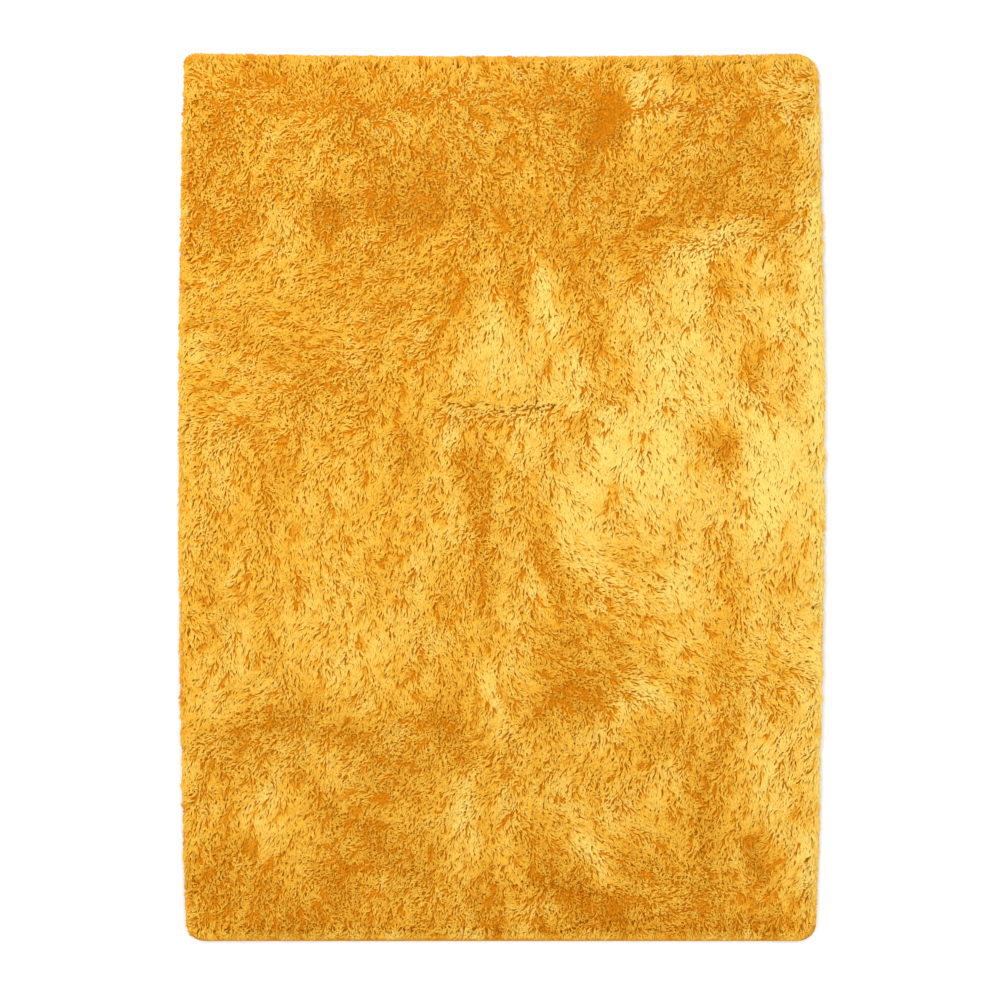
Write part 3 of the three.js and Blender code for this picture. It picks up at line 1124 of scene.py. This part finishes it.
class RUG_OT_ground_cloth(bpy.types.Operator):
    """Lays the woven ground cloth flat, with its margin pressed thinner inside the tape"""

    bl_idname = "rug.ground_cloth"
    bl_label = "Ground cloth"

    def execute(self, context):
        low, high = CLOTH_LOW, CLOTH_HIGH
        plate = rounded_plate(high[0] - low[0], high[1] - low[1], (low + high) / 2, high[2])
        edit_all(plate)
        bpy.ops.mesh.inset(thickness=(TAPE_WIDTH + MARGIN_PAST_TAPE) * MM, depth=0)
        bpy.ops.mesh.inset(thickness=MARGIN_SLOPE * MM, depth=0)
        bpy.ops.mesh.select_all(action="SELECT")
        bpy.ops.mesh.normals_make_consistent(inside=False)
        if plate.data.polygons[0].normal.z < 0:
            bpy.ops.mesh.flip_normals()
        bpy.ops.object.mode_set(mode="OBJECT")
        thick = plate.vertex_groups.new(name="full thickness")
        middle_face = max(plate.data.polygons, key=lambda face: face.area)
        thick.add(list(middle_face.vertices), 1.0, "REPLACE")
        solid = plate.modifiers.new("thickness", "SOLIDIFY")
        solid.thickness = high[2] * MM
        solid.offset = -1
        solid.vertex_group = thick.name
        solid.thickness_vertex_group = MARGIN_THICKNESS / high[2]
        bpy.ops.object.modifier_apply(modifier=solid.name)
        plate.vertex_groups.clear()
        colour = context.scene.rug_colours.cloth
        cloth = woven_cloth("Woven polyester backing cloth", colour, CLOTH_THREAD)
        piece = finish_piece(plate, "ground_cloth_sheet", cloth, "ground_cloth")
        return {"FINISHED"}


class RUG_OT_edge_tape(bpy.types.Operator):
    """Copies the frame's narrow tape, folded over the ground cloth's edge all the way round"""

    bl_idname = "rug.edge_tape"
    bl_label = "Edge tape"

    def execute(self, context):
        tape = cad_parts["edge_binding"].copy()
        tape.data = tape.data.copy()
        context.scene.collection.objects.link(tape)
        tape.hide_render = False
        tape.hide_viewport = False
        for key in list(tape.keys()):
            del tape[key]
        tape.parent = None
        edit_all(tape)
        bpy.ops.mesh.remove_doubles(threshold=0.01 * MM)
        bpy.ops.object.mode_set(mode="OBJECT")
        cloth = woven_cloth("Twill binding tape", context.scene.rug_colours.tape, TAPE_THREAD)
        finish_piece(tape, "edge_tape", cloth, "edge_binding")
        return {"FINISHED"}


def round_corners(x, y, half_x, half_y, radius):
    """Places on a rectangle moved so that its four corners become round."""
    u = np.clip((np.abs(x) - half_x + radius) / radius, 0, 1)
    v = np.clip((np.abs(y) - half_y + radius) / radius, 0, 1)
    in_x = np.sign(x) * radius * u * (1 - np.sqrt(1 - v * v / 2))
    in_y = np.sign(y) * radius * v * (1 - np.sqrt(1 - u * u / 2))
    return x - in_x, y - in_y


class RUG_OT_pile_base(bpy.types.Operator):
    """Makes the dense lower part of the pile, which closes the gaps between the locks"""

    bl_idname = "rug.pile_base"
    bl_label = "Pile base"

    def execute(self, context):
        half_x, half_y = PILE_HIGH[0] - BASE_INSET[0], PILE_HIGH[1] - BASE_INSET[1]
        clear_selection()
        bpy.ops.mesh.primitive_grid_add(
            x_subdivisions=BASE_CELLS[0], y_subdivisions=BASE_CELLS[1], size=2,
        )
        base = context.object
        base.scale = (half_x * MM, half_y * MM, 1)
        bpy.ops.object.transform_apply(location=True, rotation=True, scale=True)
        random = np.random.default_rng(BASE_SEED)
        mesh = base.data
        places = np.empty(len(mesh.vertices) * 3)
        mesh.vertices.foreach_get("co", places)
        places = places.reshape(-1, 3) / MM
        x, y = round_corners(places[:, 0], places[:, 1], half_x, half_y, CORNER_RADIUS)
        depth = inside_by(x, y)[0]
        start, length = BASE_RISE
        rise = np.sqrt(1 - (1 - np.clip((depth - start) / length, 0, 1)) ** 2)
        z = BASE_EDGE_HEIGHT + (BASE_HEIGHT - BASE_EDGE_HEIGHT) * rise
        z = z + random.normal(0, 1.0, len(x)) * rise
        z -= CREASE_DEPTH * sum(
            share * patch((x, y), middle_x, middle_y, half, CREASE_HALF_WIDTH, turn)
            for middle_x, middle_y, half, turn, share in CREASES
        )
        inner = rise > 0
        x += random.uniform(-BASE_SCATTER, BASE_SCATTER, len(x)) * inner
        y += random.uniform(-BASE_SCATTER, BASE_SCATTER, len(y)) * inner
        mesh.vertices.foreach_set("co", (np.stack([x, y, z], 1) * MM).ravel())
        mesh.update()
        # the open rim goes straight down a little, and one face closes it underneath
        bpy.ops.object.mode_set(mode="EDIT")
        bpy.ops.mesh.select_mode(type="EDGE")
        bpy.ops.mesh.select_all(action="DESELECT")
        bpy.ops.mesh.select_non_manifold(
            extend=False, use_wire=False, use_boundary=True, use_multi_face=False,
            use_non_contiguous=False, use_verts=False,
        )
        down = (0, 0, -BASE_EDGE_THICKNESS * MM)
        bpy.ops.mesh.extrude_edges_move(TRANSFORM_OT_translate={"value": down})
        bpy.ops.mesh.edge_face_add()
        bpy.ops.mesh.select_all(action="SELECT")
        bpy.ops.mesh.normals_make_consistent(inside=False)
        bpy.ops.object.mode_set(mode="OBJECT")
        mesh.polygons.foreach_set("use_smooth", np.ones(len(mesh.polygons), bool))
        yarn = matted_roots(context.scene.rug_colours)
        finish_piece(base, "pile_base", yarn, "pile")
        return {"FINISHED"}


class RUG_OT_pile(bpy.types.Operator):
    """Works the locks of the pile into the ground cloth, in five bands from foot to head"""

    bl_idname = "rug.pile"
    bl_label = "Pile"

    def execute(self, context):
        locks = Locks(context.scene.rug_sizes)
        looks = (locks.points, locks.width, locks.tone, locks.facing)
        yarn = polyester_pile(context.scene.rug_colours)
        order = np.argsort(locks.points[:, 0, 1], kind="stable")
        for name, rows in zip(PILE_BANDS, np.array_split(order, len(PILE_BANDS))):
            vertices, faces, uvs, normals = lock_arrays(*(look[rows] for look in looks))
            band = mesh_object(name, vertices, faces, uvs)
            band.data.normals_split_custom_set(normals)
            finish_piece(band, name, yarn, "pile")
        return {"FINISHED"}


class RUG_PT_panel(bpy.types.Panel):
    bl_label = "Shag rug"
    bl_idname = "RUG_PT_panel"
    bl_space_type = "VIEW_3D"
    bl_region_type = "UI"
    bl_category = "Rug"

    def draw(self, context):
        for group in (context.scene.rug_sizes, context.scene.rug_colours):
            for name in group.__annotations__:
                self.layout.prop(group, name)
        for operator in OPERATORS:
            self.layout.operator(operator.bl_idname)


OPERATORS = (RUG_OT_stage, RUG_OT_pile_base, RUG_OT_pile, RUG_OT_ground_cloth, RUG_OT_edge_tape)
CLASSES = (RugSizes, RugColours, *OPERATORS, RUG_PT_panel)


def register():
    for one in CLASSES:
        bpy.utils.register_class(one)
    bpy.types.Scene.rug_sizes = bpy.props.PointerProperty(type=RugSizes)
    bpy.types.Scene.rug_colours = bpy.props.PointerProperty(type=RugColours)


def unregister():
    del bpy.types.Scene.rug_sizes
    del bpy.types.Scene.rug_colours
    for one in reversed(CLASSES):
        bpy.utils.unregister_class(one)


def main():
    register()
    bpy.ops.rug.stage()
    bpy.ops.rug.pile_base()
    bpy.ops.rug.pile()
    bpy.ops.rug.ground_cloth()
    bpy.ops.rug.edge_tape()


if __name__ == "__main__":
    main()
